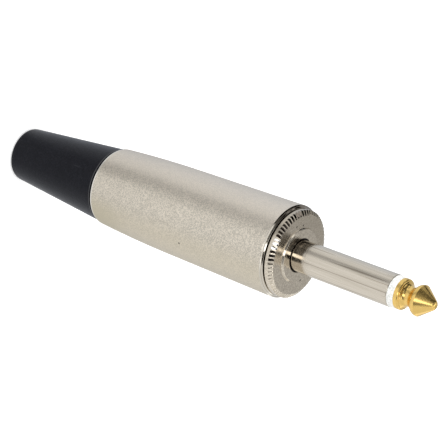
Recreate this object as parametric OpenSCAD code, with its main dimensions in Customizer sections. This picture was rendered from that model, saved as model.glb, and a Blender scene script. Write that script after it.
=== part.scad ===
// Straight two-contact phone plug, 6.35 mm finger, with an unscrewing barrel and a screwed cable boot.
// It stands on the boot's flat rear end. +Z runs along the axis towards the tip. Sizes are in millimetres.

/* [Finger] */
// Length from the hub's face to the end of the tip
finger_len = 31.0; // [24:0.1:38]
// Diameter of the sleeve contact
finger_d = 6.35; // [5.2:0.01:7.7]
// Length of the polished root of the sleeve
neck_len = 3.0; // [0.5:0.1:6]
// How much thinner the polished root is, on the diameter
neck_cut = 0.1; // [0.02:0.02:0.4]
// How much thinner the sleeve is in its seat in the body, on the radius
seat_step = 0.2; // [0.16:0.02:0.3]
// Height of the slope from that seat to the polished root
seat_slope = 0.1; // [0.05:0.05:0.3]
// Wall of the sleeve tube
sleeve_wall = 0.77; // [0.5:0.01:0.9]
// Rounding of the sleeve's front edge
sleeve_edge = 0.12; // [0.02:0.01:0.3]

/* [Tip] */
// Length from the white ring's front face to the end of the tip
tip_len = 7.62; // [7:0.01:9.2]
// How much thinner than the sleeve the white ring's rear edge is, on the diameter
ring_under = 0.15; // [0.05:0.05:0.5]
// How much thinner still its front edge is, on the diameter
ring_draft = 0.2; // [0.05:0.05:0.4]
// Width of the white ring
ring_w = 1.42; // [1:0.01:1.8]
// Length of the ring's spigot inside the sleeve
ring_spigot = 2.6; // [1:0.1:5]
// How much thinner than the sleeve the tip's collar is, on the diameter
collar_under = 0.35; // [0.05:0.05:0.6]
// How much thinner than the sleeve the cone is at its widest, on the diameter
cone_under = 0.31; // [0.05:0.01:0.6]
// Diameter at the bottom of the groove behind the cone
waist_d = 3.8; // [3.2:0.05:4.6]
// How much thicker than the waist the core between groove and cone is, on the radius
core_over = 0.38; // [0.3:0.02:0.5]
// Radius of the groove's section
groove_r = 1.15; // [0.9:0.05:1.3]
// From the white ring's front face to the middle of the groove
groove_at = 2.17; // [1.6:0.01:2.4]
// From the white ring's front face to the cone's widest place
cone_at = 4.42; // [4.1:0.01:4.9]
// Radius of the cone's rounded back
cone_back_r = 1.6; // [1.3:0.05:1.8]
// Width of the belt at the cone's widest place
cone_belt = 0.2; // [0.05:0.05:0.5]
// Radius of the rounded nose
nose_r = 1.25; // [0.8:0.05:1.6]
// Diameter of the centre rod
rod_d = 2.4; // [1.8:0.05:2.8]
// Diameter of the rod's spread end
rod_head_d = 3.8; // [3:0.1:4.6]
// Height of the rod's spread end
rod_head_h = 0.8; // [0.4:0.1:1.5]

/* [Plug body] */
// Diameter of the raised hub
hub_d = 10.4; // [8.6:0.1:12.5]
// Height of the hub's step
hub_step = 0.4; // [0.2:0.05:0.8]
// Width of the slope at the hub's step
hub_slope = 0.2; // [0.05:0.05:0.4]
// Width of the small recess round the sleeve
recess_w = 0.245; // [0.1:0.005:0.8]
// Depth of that recess
recess_depth = 0.35; // [0.1:0.05:0.8]
// Diameter of the flange
flange_d = 17.5; // [14.6:0.1:21]
// Width of the serrated bevel, on the radius
bevel_w = 0.8; // [0.5:0.05:1.4]
// Height of the serrated bevel
bevel_h = 0.45; // [0.3:0.05:0.9]
// Width of the plain band behind the bevel
land_w = 1.2; // [0.8:0.1:2.4]
// Chamfer at the flange's rear edge
flange_chamfer = 0.25; // [0.05:0.05:0.4]
// Number of notches in the bevel
teeth = 68; // [40:1:80]
// Width of a notch
tooth_w = 0.46; // [0.3:0.02:0.54]
// Depth of a notch at the bevel's outer end
tooth_depth = 0.26; // [0.1:0.02:0.34]
// Depth of a notch at the face
tooth_depth_in = 0.12; // [0.04:0.02:0.2]
// Diameter of the rear thread
body_thread_d = 14.4; // [13.6:0.1:15]
// Length of the spigot that carries the thread
spigot_len = 9.0; // [7:0.1:11]
// Plain neck between flange and thread
relief_len = 0.8; // [0.4:0.1:1.6]
// Depth of the relief and of the thread's end chamfer
thread_relief = 0.4; // [0.2:0.05:0.6]
// Wall of the spigot round the pocket for the rear bush, under the thread's relief
pocket_wall = 1.55; // [0.8:0.05:2]
// Depth of that pocket
pocket_depth = 5.0; // [3.5:0.1:6.5]

/* [Terminals] */
// Diameter of the bush's rear nose
bush_nose_d = 5.7; // [5:0.1:6.2]
// Length of the bush's front spigot inside the sleeve
bush_spigot = 1.85; // [0.8:0.05:4]
// Thickness of the sleeve terminal's sheet
lug_t = 0.6; // [0.4:0.05:0.8]
// Clearance between the sleeve terminal's ring and the liner
lug_gap = 0.3; // [0.2:0.05:1]
// Clearance between the sleeve terminal's curved tray and the liner
tray_gap = 0.4; // [0.3:0.05:0.8]
// Width of that tray
tray_w = 5.2; // [3:0.1:6.5]
// Length of that tray
tray_len = 15.0; // [10:0.1:17]
// Diameter of its wire hole
tray_hole_d = 1.8; // [1:0.1:2.4]
// Thickness of the insulating washer
washer_t = 0.7; // [0.5:0.05:1.2]
// Diameter of the insulating washer
washer_d = 10.0; // [9:0.1:10.4]
// Thickness of the tip terminal's sheet
tag_t = 0.5; // [0.4:0.05:0.8]
// Diameter of the tip terminal's ring
tag_d = 7.8; // [7.2:0.1:8.6]
// Width of its solder tag
tag_w = 2.6; // [2:0.1:3.4]
// Length of its solder tag
tag_len = 11.8; // [8:0.1:13]
// Diameter of its wire hole
tag_hole_d = 1.4; // [0.8:0.1:1.8]
// Diameter of the washer under the rod's spread end
end_washer_d = 4.8; // [4.6:0.1:5.8]
// Thickness of that washer
end_washer_t = 0.5; // [0.3:0.05:0.8]
// Clearance between that washer and the solder tag beside it
tag_clear = 0.8; // [0.4:0.05:0.9]

/* [Barrel] */
// Length of the barrel
barrel_len = 45.1; // [37.5:0.1:54.2]
// Diameter at the barrel's front edge
barrel_d = 18.6; // [18:0.1:22.4]
// Loss of radius for each millimetre towards the rear
barrel_taper = 0.0164; // [0.005:0.0001:0.02]
// Radius of the long curve over the barrel's rear part
curve_r = 300; // [260:5:600]
// Length of that curve
curve_len = 18.3; // [8:0.1:19]
// Chamfer at the front edge
front_chamfer = 0.45; // [0.1:0.05:0.6]
// Chamfer at the rear edge
rear_chamfer = 0.25; // [0.1:0.05:0.4]
// Step from the front threaded bore down to the liner's bore, on the radius
bore_step = 0.25; // [0.1:0.05:0.6]
// How far the front threaded bore runs past the body's spigot
front_bore_over = 0.15; // [0:0.05:1.5]
// Diameter of the opening in the inner shoulder
shoulder_d = 11.0; // [9.4:0.1:12]
// Thickness of the inner shoulder
shoulder_t = 1.0; // [0.6:0.1:2]
// Wall of the insulating liner
liner_wall = 0.6; // [0.3:0.05:0.62]
// Gap between the barrel and the flange
front_gap = 0.15; // [0.1:0.05:0.4]

/* [Boot] */
// Length of the boot's outer cone
boot_len = 24.65; // [20.5:0.05:29.6]
// Diameter of the cone's front edge
boot_front_d = 15.5; // [14.8:0.1:15.9]
// Diameter of the cone's rear end
boot_rear_d = 11.1; // [10.4:0.1:13]
// Rounding of the rear edge
boot_edge = 0.8; // [0.3:0.05:1.2]
// Small lip at the front edge
boot_lip = 0.2; // [0.1:0.05:0.4]
// Diameter of the cable hole
cable_d = 7.2; // [5.8:0.1:8.6]
// Countersink at the cable hole's mouth
mouth_chamfer = 0.4; // [0.1:0.05:0.6]
// Diameter of the boot's thread
boot_thread_d = 13.2; // [12.8:0.1:13.6]
// Length of the threaded spigot
boot_spigot = 8.45; // [7:0.05:9.5]
// Gap between the boot and the barrel
rear_gap = 0.25; // [0.15:0.05:0.5]

/* [Cable chuck] */
// Length of the chuck's solid ring
chuck_ring = 3.0; // [2:0.1:3.5]
// Length of the chuck's jaws
jaw_len = 13.5; // [9:0.1:14.5]
// How much wider than the cable hole the chuck's bore is, on the diameter
chuck_over = 0.5; // [0.4:0.05:0.8]
// Thickness of the jaws at their root
jaw_root_wall = 1.35; // [1.1:0.05:1.45]
// Thickness of the jaws at their end
jaw_end_wall = 0.85; // [0.7:0.05:1.05]
// Number of slots between the jaws
jaws = 4; // [3:1:8]
// Width of a slot
slot_w = 0.9; // [0.4:0.1:1.4]
// How far the slots run into the ring
slot_in_ring = 1.0; // [0.2:0.1:1.6]
// Height of a gripping rib inside the jaws
rib_h = 0.2; // [0.1:0.05:0.25]
// Width of a gripping rib
rib_w = 0.5; // [0.3:0.05:0.8]
// Number of gripping ribs
ribs = 4; // [1:1:5]

/* [Clearances] */
// Radial clearance between screw threads
thread_gap = 0.05; // [0.02:0.01:0.1]
// Radial clearance where fixed pieces sit in each other
seat_gap = 0.02; // [0.01:0.01:0.05]
// Radial clearance round the rod and inside the sleeve
tube_gap = 0.05; // [0.02:0.01:0.1]
// Radial clearance of the liner in the barrel
liner_gap = 0.1; // [0.05:0.01:0.2]
// End clearance of the liner and of the chuck
end_gap = 0.2; // [0.1:0.05:0.4]
// Clearance between the jaws and the boot's inner cone
jaw_gap = 0.15; // [0.1:0.05:0.3]
// Clearance between the jaws' ends and the bottom of that cone
well_gap = 0.4; // [0.2:0.05:1]
// Radial clearance of the chuck's ring in the barrel, which lets it pass the rear thread
chuck_gap = 0.35; // [0.1:0.05:0.6]

/* [Hidden] */
$fn = 96;

// Heights above the standing face, from the rear end to the tip
barrel_rear_z = boot_len + rear_gap;
barrel_front_z = barrel_rear_z + barrel_len;
flange_rear_z = barrel_front_z + front_gap;
bevel_z = flange_rear_z + land_w;
face_z = bevel_z + bevel_h;
hub_z = face_z + hub_step;
tip_z = hub_z + finger_len;
ring_front_z = tip_z - tip_len;
sleeve_front_z = ring_front_z - ring_w;
body_rear_z = flange_rear_z - spigot_len;
pocket_z = body_rear_z + pocket_depth;
lug_rear_z = body_rear_z - lug_t;
washer_rear_z = lug_rear_z - washer_t;
tag_rear_z = washer_rear_z - tag_t;
end_washer_rear_z = tag_rear_z - end_washer_t;
rod_end_z = end_washer_rear_z - rod_head_h;

// Radii that follow from the sizes above
sleeve_r = finger_d / 2;
sleeve_seat_r = sleeve_r - seat_step;
sleeve_bore_r = sleeve_r - sleeve_wall;
rod_r = rod_d / 2;
rod_hole_r = rod_r + tube_gap;
filler_r = sleeve_bore_r - tube_gap;
ring_r = sleeve_r - ring_under / 2;
collar_r = sleeve_r - collar_under / 2;
cone_r = sleeve_r - cone_under / 2;
waist_r = waist_d / 2;
flange_r = flange_d / 2;
face_r = flange_r - bevel_w;
hub_r = hub_d / 2;
body_thread_r = body_thread_d / 2;
relief_r = body_thread_r - thread_relief;
pocket_r = relief_r - pocket_wall;
front_bore_r = body_thread_r + thread_gap;
bore_r = front_bore_r - bore_step;
liner_r = bore_r - liner_gap;
liner_bore_r = liner_r - liner_wall;
lug_r = liner_bore_r - lug_gap;
tray_r = liner_bore_r - tray_gap;
boot_thread_r = boot_thread_d / 2;
rear_bore_r = boot_thread_r + thread_gap;
cable_r = cable_d / 2;
chuck_r = rear_bore_r - chuck_gap;
chuck_bore_r = cable_r + chuck_over / 2;
jaw_root_r = chuck_bore_r + jaw_root_wall;
jaw_end_r = chuck_bore_r + jaw_end_wall;

// The bevel's slope, seen from the side
bevel_slant = norm([bevel_w, bevel_h]);
bevel_turn = -atan2(bevel_w, bevel_h);
notch_tilt = atan2(tooth_depth - tooth_depth_in, bevel_slant);
notch_over = 0.6;

// The barrel's inside, from the rear
liner_seat_z = body_rear_z - front_bore_over;
liner_front_z = liner_seat_z - end_gap;
chuck_front_z = barrel_rear_z + boot_spigot + chuck_ring + end_gap;
shoulder_z = chuck_front_z + end_gap;
liner_rear_z = shoulder_z + shoulder_t + end_gap;
boot_top_z = boot_len + boot_spigot;
chuck_ring_z = chuck_front_z - chuck_ring;
jaw_end_z = chuck_ring_z - jaw_len;
jaw_well_z = jaw_end_z - well_gap;

// Little more than nothing, so that a cut runs clear of the face it leaves
past = 0.1;

// A tube or disc between two heights
module ring_between(outer_r, inner_r, low_z, high_z) {
    translate([0, 0, low_z])
        difference() {
            cylinder(r = outer_r, h = high_z - low_z);
            translate([0, 0, -past])
                cylinder(r = inner_r, h = high_z - low_z + 2 * past);
        }
}

// Half section of the cone, its rounded back and its nose
module cone_section() {
    widest_z = ring_front_z + cone_at;
    belt_z = widest_z + cone_belt;
    nose_z = tip_z - nose_r;
    reach = norm([cone_r, nose_z - belt_z]);
    turn = acos(nose_r / reach) - atan2(nose_z - belt_z, cone_r);
    touch = [nose_r * cos(turn), nose_z + nose_r * sin(turn)];
    intersection() {
        translate([cone_r - cone_back_r, widest_z])
            circle(r = cone_back_r);
        translate([0, widest_z - cone_back_r])
            square([cone_r, cone_back_r]);
    }
    polygon([
        [0, widest_z - past],
        [waist_r, widest_z - past],
        [cone_r, widest_z],
        [cone_r, belt_z],
        touch,
        [0, touch[1]]
    ]);
    intersection() {
        translate([0, nose_z])
            circle(r = nose_r);
        translate([0, belt_z])
            square([nose_r, tip_z - belt_z]);
    }
}

// Half section of the tip's head, with the groove between collar and cone
module tip_section() {
    groove_z = ring_front_z + groove_at;
    difference() {
        union() {
            translate([0, ring_front_z])
                square([collar_r, groove_at]);
            translate([0, groove_z])
                square([waist_r + core_over, cone_at - groove_at]);
            cone_section();
        }
        translate([waist_r + groove_r, groove_z])
            circle(r = groove_r);
    }
}

module tip_contact() {
    color("goldenrod")
    union() {
        rotate_extrude()
            tip_section();
        translate([0, 0, end_washer_rear_z])
            cylinder(r = rod_r, h = ring_front_z - end_washer_rear_z + past);
        translate([0, 0, rod_end_z])
            cylinder(r1 = rod_head_d / 2 - rod_head_h / 2, r2 = rod_head_d / 2, h = rod_head_h);
    }
}

module tip_ring() {
    color("white")
    difference() {
        union() {
            translate([0, 0, sleeve_front_z])
                cylinder(r1 = ring_r, r2 = ring_r - ring_draft / 2, h = ring_w);
            translate([0, 0, sleeve_front_z - ring_spigot])
                cylinder(r = filler_r, h = ring_spigot + past);
        }
        translate([0, 0, sleeve_front_z - ring_spigot - past])
            cylinder(r = rod_hole_r, h = ring_spigot + ring_w + 2 * past);
    }
}

module rod_tube() {
    color("ivory")
    ring_between(
        filler_r, rod_hole_r,
        pocket_z + bush_spigot + seat_gap, sleeve_front_z - ring_spigot - seat_gap
    );
}

module sleeve_contact() {
    neck_r = sleeve_r - neck_cut / 2;
    neck_top_z = hub_z + neck_len;
    color("silver")
    rotate_extrude()
        polygon([
            [sleeve_bore_r, pocket_z],
            [sleeve_seat_r, pocket_z],
            [sleeve_seat_r, hub_z - seat_slope],
            [neck_r, hub_z],
            [neck_r, neck_top_z],
            [sleeve_r, neck_top_z + neck_cut / 2],
            [sleeve_r, sleeve_front_z - sleeve_edge],
            [sleeve_r - sleeve_edge, sleeve_front_z],
            [sleeve_bore_r, sleeve_front_z]
        ]);
}

// One notch of the serrated bevel, at its place on +X
module notch() {
    middle_r = (flange_r + face_r) / 2;
    middle_depth = (tooth_depth + tooth_depth_in) / 2;
    translate([middle_r, 0, face_z - bevel_h / 2])
        rotate([0, bevel_turn + notch_tilt, 0])
            linear_extrude(height = bevel_slant + 2 * notch_over, center = true)
                polygon([
                    [-middle_depth, 0],
                    [notch_over, -tooth_w / 2 * (1 + notch_over / middle_depth)],
                    [notch_over, tooth_w / 2 * (1 + notch_over / middle_depth)]
                ]);
}

module plug_body() {
    color("gainsboro")
    difference() {
        rotate_extrude()
            polygon([
                [sleeve_seat_r + seat_gap, pocket_z],
                [pocket_r, pocket_z],
                [pocket_r, body_rear_z],
                [relief_r, body_rear_z],
                [body_thread_r, body_rear_z + thread_relief],
                [body_thread_r, flange_rear_z - relief_len],
                [relief_r, flange_rear_z - relief_len],
                [relief_r, flange_rear_z],
                [flange_r - flange_chamfer, flange_rear_z],
                [flange_r, flange_rear_z + flange_chamfer],
                [flange_r, bevel_z],
                [face_r, face_z],
                [hub_r + hub_slope, face_z],
                [hub_r, hub_z],
                [sleeve_r + recess_w, hub_z],
                [sleeve_r + recess_w, hub_z - recess_depth],
                [sleeve_seat_r + seat_gap, hub_z - recess_depth]
            ]);
        for (i = [0 : teeth - 1])
            rotate([0, 0, i * 360 / teeth])
                notch();
    }
}

module rear_bush() {
    nose_len = lug_t + washer_t - 2 * seat_gap;
    color("dimgray")
    difference() {
        union() {
            translate([0, 0, body_rear_z])
                cylinder(r = pocket_r - seat_gap, h = pocket_depth - seat_gap);
            translate([0, 0, pocket_z - past])
                cylinder(r = filler_r, h = bush_spigot + past);
            translate([0, 0, body_rear_z - nose_len])
                cylinder(r = bush_nose_d / 2, h = nose_len + past);
        }
        translate([0, 0, body_rear_z - nose_len - past])
            cylinder(r = rod_hole_r, h = nose_len + pocket_depth + bush_spigot + 2 * past);
    }
}

module sleeve_terminal() {
    tray_end_z = lug_rear_z - tray_len;
    color("lightsteelblue")
    difference() {
        union() {
            ring_between(lug_r, bush_nose_d / 2 + seat_gap, lug_rear_z, body_rear_z);
            intersection() {
                ring_between(tray_r, tray_r - lug_t, tray_end_z, lug_rear_z + lug_t / 2);
                translate([0, -tray_w / 2, tray_end_z - past])
                    cube([tray_r + past, tray_w, tray_len + lug_t]);
            }
        }
        translate([tray_r - 2 * lug_t, 0, tray_end_z + tray_w / 2])
            rotate([0, 90, 0])
                cylinder(d = tray_hole_d, h = 3 * lug_t);
    }
}

module insulating_washer() {
    color("saddlebrown")
    ring_between(washer_d / 2, bush_nose_d / 2 + seat_gap, washer_rear_z, lug_rear_z);
}

module tip_terminal() {
    tag_end_z = tag_rear_z - tag_len;
    tag_x = end_washer_d / 2 + tag_clear;
    color("khaki")
    difference() {
        union() {
            ring_between(tag_d / 2, rod_r + seat_gap, tag_rear_z, washer_rear_z);
            translate([-tag_x - tag_t, -tag_w / 2, tag_end_z + tag_w / 2])
                cube([tag_t, tag_w, tag_len - tag_w / 2 + tag_t / 2]);
            translate([-tag_x - tag_t, 0, tag_end_z + tag_w / 2])
                rotate([0, 90, 0])
                    cylinder(d = tag_w, h = tag_t);
        }
        translate([-tag_x - 2 * tag_t, 0, tag_end_z + tag_w / 2])
            rotate([0, 90, 0])
                cylinder(d = tag_hole_d, h = 3 * tag_t);
    }
}

module end_washer() {
    color("gold")
    ring_between(end_washer_d / 2, rod_r + seat_gap, end_washer_rear_z, tag_rear_z);
}

module liner() {
    color("lightyellow")
    ring_between(liner_r, liner_bore_r, liner_rear_z, liner_front_z);
}

// Outside radius of the barrel at a distance behind its front edge
function barrel_r(back) =
    let (bend = max(0, back - (barrel_len - curve_len)))
    barrel_d / 2 - barrel_taper * back - (curve_r - sqrt(curve_r * curve_r - bend * bend));

module barrel() {
    curve_steps = 12;
    color("silver")
    rotate_extrude()
        polygon(concat(
            [
                [rear_bore_r, barrel_rear_z],
                [rear_bore_r, shoulder_z],
                [shoulder_d / 2, shoulder_z],
                [shoulder_d / 2, shoulder_z + shoulder_t],
                [bore_r, shoulder_z + shoulder_t],
                [bore_r, liner_seat_z],
                [front_bore_r, liner_seat_z],
                [front_bore_r, barrel_front_z],
                [barrel_d / 2 - front_chamfer, barrel_front_z],
                [barrel_r(front_chamfer), barrel_front_z - front_chamfer]
            ],
            [
                for (i = [0 : curve_steps])
                    let (back = barrel_len - curve_len + (curve_len - rear_chamfer) * i / curve_steps)
                    [barrel_r(back), barrel_front_z - back]
            ],
            [[barrel_r(barrel_len) - rear_chamfer, barrel_rear_z]]
        ));
}

module chuck() {
    rib_pitch = jaw_len / (ribs + 1);
    color("whitesmoke")
    difference() {
        union() {
            ring_between(chuck_r, chuck_bore_r, chuck_ring_z, chuck_front_z);
            difference() {
                translate([0, 0, jaw_end_z])
                    cylinder(r1 = jaw_end_r, r2 = jaw_root_r, h = jaw_len + past);
                translate([0, 0, jaw_end_z - past])
                    cylinder(r = chuck_bore_r, h = jaw_len + 3 * past);
            }
            for (i = [1 : ribs])
                ring_between(
                    chuck_bore_r + past, chuck_bore_r - rib_h,
                    jaw_end_z + i * rib_pitch - rib_w / 2, jaw_end_z + i * rib_pitch + rib_w / 2
                );
        }
        for (i = [0 : jaws - 1])
            rotate([0, 0, i * 360 / jaws])
                translate([cable_r / 2, -slot_w / 2, jaw_end_z - past])
                    cube([chuck_r, slot_w, jaw_len + slot_in_ring + past]);
    }
}

module boot() {
    cone_slope = (boot_front_d - boot_rear_d) / 2 / boot_len;
    edge_r = boot_rear_d / 2 + cone_slope * boot_edge;
    thread_foot_z = boot_len + relief_len;
    well_r = jaw_end_r + jaw_gap;
    well_top_r = jaw_root_r + jaw_gap;
    color("black")
    difference() {
        rotate_extrude()
            union() {
                polygon([
                    [0, 0],
                    [edge_r - boot_edge, 0],
                    [edge_r - boot_edge, boot_edge],
                    [edge_r, boot_edge],
                    [boot_front_d / 2 - cone_slope * boot_lip, boot_len - boot_lip],
                    [boot_front_d / 2 - boot_lip, boot_len],
                    [boot_thread_r - thread_relief, boot_len],
                    [boot_thread_r - thread_relief, thread_foot_z],
                    [boot_thread_r, thread_foot_z],
                    [boot_thread_r, boot_top_z - thread_relief],
                    [boot_thread_r - thread_relief, boot_top_z],
                    [0, boot_top_z]
                ]);
                intersection() {
                    translate([edge_r - boot_edge, boot_edge])
                        circle(r = boot_edge);
                    translate([edge_r - boot_edge, 0])
                        square(boot_edge);
                }
            }
        translate([0, 0, -past])
            cylinder(r = cable_r, h = jaw_well_z + 2 * past);
        translate([0, 0, -past])
            cylinder(r1 = cable_r + mouth_chamfer + past, r2 = cable_r, h = mouth_chamfer + past);
        translate([0, 0, jaw_well_z])
            cylinder(r1 = well_r, r2 = well_top_r, h = boot_top_z - jaw_well_z);
        translate([0, 0, boot_top_z - past])
            cylinder(r = well_top_r, h = 2 * past);
    }
}

tip_contact();
tip_ring();
rod_tube();
sleeve_contact();
plug_body();
rear_bush();
sleeve_terminal();
insulating_washer();
tip_terminal();
end_washer();
liner();
barrel();
chuck();
boot();
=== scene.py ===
# %% [markdown]
# # A phone plug, turned from a few outlines
# The object is the plug on the end of an instrument lead: a finger with a gold tip, a metal sleeve,
# a serrated flange, a satin barrel that unscrews and a black cable boot. Nearly every piece was made on
# a lathe, so nearly every piece here is an outline that is swept round the axis.
# The packed model gives each piece's place. The plug stands on its boot, and +Z runs towards the tip.

# %% Load the frame
import bmesh
import bpy
import math
from mathutils import Matrix, Vector


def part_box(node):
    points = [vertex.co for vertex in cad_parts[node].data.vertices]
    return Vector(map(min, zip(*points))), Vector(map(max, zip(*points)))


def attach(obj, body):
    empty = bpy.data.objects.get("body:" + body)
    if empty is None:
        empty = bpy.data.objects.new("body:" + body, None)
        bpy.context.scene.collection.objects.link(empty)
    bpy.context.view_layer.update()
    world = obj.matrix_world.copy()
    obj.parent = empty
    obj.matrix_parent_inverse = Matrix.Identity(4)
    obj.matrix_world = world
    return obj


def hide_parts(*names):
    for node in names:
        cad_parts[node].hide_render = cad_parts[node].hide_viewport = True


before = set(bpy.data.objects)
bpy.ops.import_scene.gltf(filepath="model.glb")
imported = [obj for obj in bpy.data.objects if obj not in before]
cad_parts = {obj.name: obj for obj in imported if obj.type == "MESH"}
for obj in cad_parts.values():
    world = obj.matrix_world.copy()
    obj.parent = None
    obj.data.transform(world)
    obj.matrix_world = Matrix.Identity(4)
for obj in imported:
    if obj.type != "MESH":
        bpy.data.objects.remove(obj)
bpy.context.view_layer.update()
MM = 0.001

# %% [markdown]
# ## Heights along the axis
# Turned pieces meet at shoulders, so a handful of heights places every outline. They are read from
# the packed pieces' boxes, so that an outline made here lands on the piece that it stands for.

# %% Read the heights
SHOULDER_GAP = 0.25
HUB_RISE, BEVEL_DROP, LAND_LEN = 0.4, 0.45, 1.2


def low(node):
    """Lower end of a packed piece, in mm."""
    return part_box(node)[0][2] / MM


def high(node):
    """Upper end of a packed piece, in mm."""
    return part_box(node)[1][2] / MM


boot_top = high("boot")
barrel_rear, barrel_front = low("barrel"), high("barrel")
body_rear, hub = low("plug_body"), high("plug_body")
sleeve_rear, sleeve_front = low("sleeve_contact"), high("sleeve_contact")
ring_rear, ring_front = low("tip_ring"), high("tip_ring")
rod_end, tip_end = low("tip_contact"), high("tip_contact")
boot_shoulder = barrel_rear - SHOULDER_GAP
face = hub - HUB_RISE
bevel = face - BEVEL_DROP
flange_rear = bevel - LAND_LEN
print("barrel", barrel_rear, "to", barrel_front, "flange", flange_rear, "face", face, "hub", hub)

# %% [markdown]
# ## Camera
# A long lens looks at the front of the plug from a little above its waist. The lens length, the place
# and the turn about the line of sight come from fitting the plug's rings to the view that is wanted:
# the axis runs from the upper left to the lower right, with the tip nearer than the boot.

# %% Place the camera
axis_in_view = Vector((0.7708, -0.2871, 0.5687)).normalized()
mark_in_view = Vector((13.434, -5.581, -369.08)) * MM
mark = Vector((0, 0, 70.82)) * MM
LENS_PIXELS = 1942.5
FRAME_PIXELS = 448
SENSOR = 36.0

level = math.hypot(axis_in_view.x, axis_in_view.y)
away = Vector((0, -level, axis_in_view.z))
right_y = axis_in_view.x * axis_in_view.z / level
right = Vector((-math.sqrt(1 - right_y ** 2 - axis_in_view.x ** 2), right_y, axis_in_view.x))
up = away.cross(right)
turn = Matrix((right, up, away)).transposed()


def placed(name, data):
    """A new object in the scene."""
    made = bpy.data.objects.new(name, data)
    bpy.context.scene.collection.objects.link(made)
    return made


camera = placed("camera", bpy.data.cameras.new("camera"))
camera.data.sensor_width = SENSOR
camera.data.lens = LENS_PIXELS / FRAME_PIXELS * SENSOR
camera.data.clip_start, camera.data.clip_end = 0.01, 10
camera.matrix_world = Matrix.Translation(mark - turn @ mark_in_view) @ turn.to_4x4()
bpy.context.scene.camera = camera
print("camera at", [round(x, 4) for x in camera.matrix_world.translation], "lens", round(camera.data.lens, 1))

# %% [markdown]
# ## A pen for node trees
# Materials and shapes are both built from nodes below. A pen keeps those cells short: it adds a node
# with its sockets filled by numbers or links, and does the sums that come up again and again.

# %% Node helpers


class Pen:
    """Adds nodes to one tree, fills their sockets and calculates with them."""

    def __init__(self, tree):
        self.tree = tree

    def node(self, kind, sockets=None, **settings):
        """Adds a node, makes its settings and fills its sockets, which go by number or name."""
        made = self.tree.nodes.new(kind)
        for name, value in settings.items():
            setattr(made, name, value)
        for socket, value in (sockets or {}).items():
            self.put(made.inputs[socket], value)
        return made

    def put(self, socket, value):
        """Fills a socket with a number, or with a link from another socket."""
        if isinstance(value, bpy.types.NodeSocket):
            self.tree.links.new(value, socket)
        else:
            socket.default_value = value

    def calc(self, operation, *values, clamp=False):
        """The result of one Math node."""
        sockets = dict(enumerate(values))
        return self.node("ShaderNodeMath", sockets, operation=operation, use_clamp=clamp).outputs[0]

    def times(self, first, *others):
        """The product of the values."""
        for value in others:
            first = self.calc("MULTIPLY", first, value)
        return first

    def one_less(self, value):
        """1 minus the value."""
        return self.calc("SUBTRACT", 1.0, value)

    def ramp(self, value, start, stop, least=0.0, most=1.0):
        """Least at start, most at stop and smooth between."""
        sockets = {"Value": value, "From Min": start, "From Max": stop, "To Min": least, "To Max": most}
        return self.node("ShaderNodeMapRange", sockets, interpolation_type="SMOOTHSTEP").outputs[0]

    def split(self, place):
        """The x, y and z of a place."""
        return self.node("ShaderNodeSeparateXYZ", {0: place}).outputs

    def from_axis(self, x, y):
        """Distance from the axis."""
        return self.calc("SQRT", self.calc("ADD", self.times(x, x), self.times(y, y)))


def fresh(kind, name):
    """A new material or world whose tree is still empty."""
    made = kind.new(name)
    made.use_nodes = True
    made.node_tree.nodes.clear()
    return made


print("a pen has:", [name for name in vars(Pen) if not name.startswith("_")])

# %% [markdown]
# ## The lathe
# A lathe sweeps a cutting point round the work, and a Geometry Nodes tree can do the same. It takes an
# outline of points, makes a grid with one row for each point and one column for each step round the
# axis, and moves the grid's points to their places. Two rules change the round shape: notches are cut
# down into the rows that ask for them, and threads wind round with one turn for each pitch.
# A Screw or Spin would sweep the outline too, but could cut neither notches nor threads on the way.

# %% Build the lathe tree
DEEP_COSINE, SHALLOW_COSINE = 0.70, 0.56
MERGE = 1e-6


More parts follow.
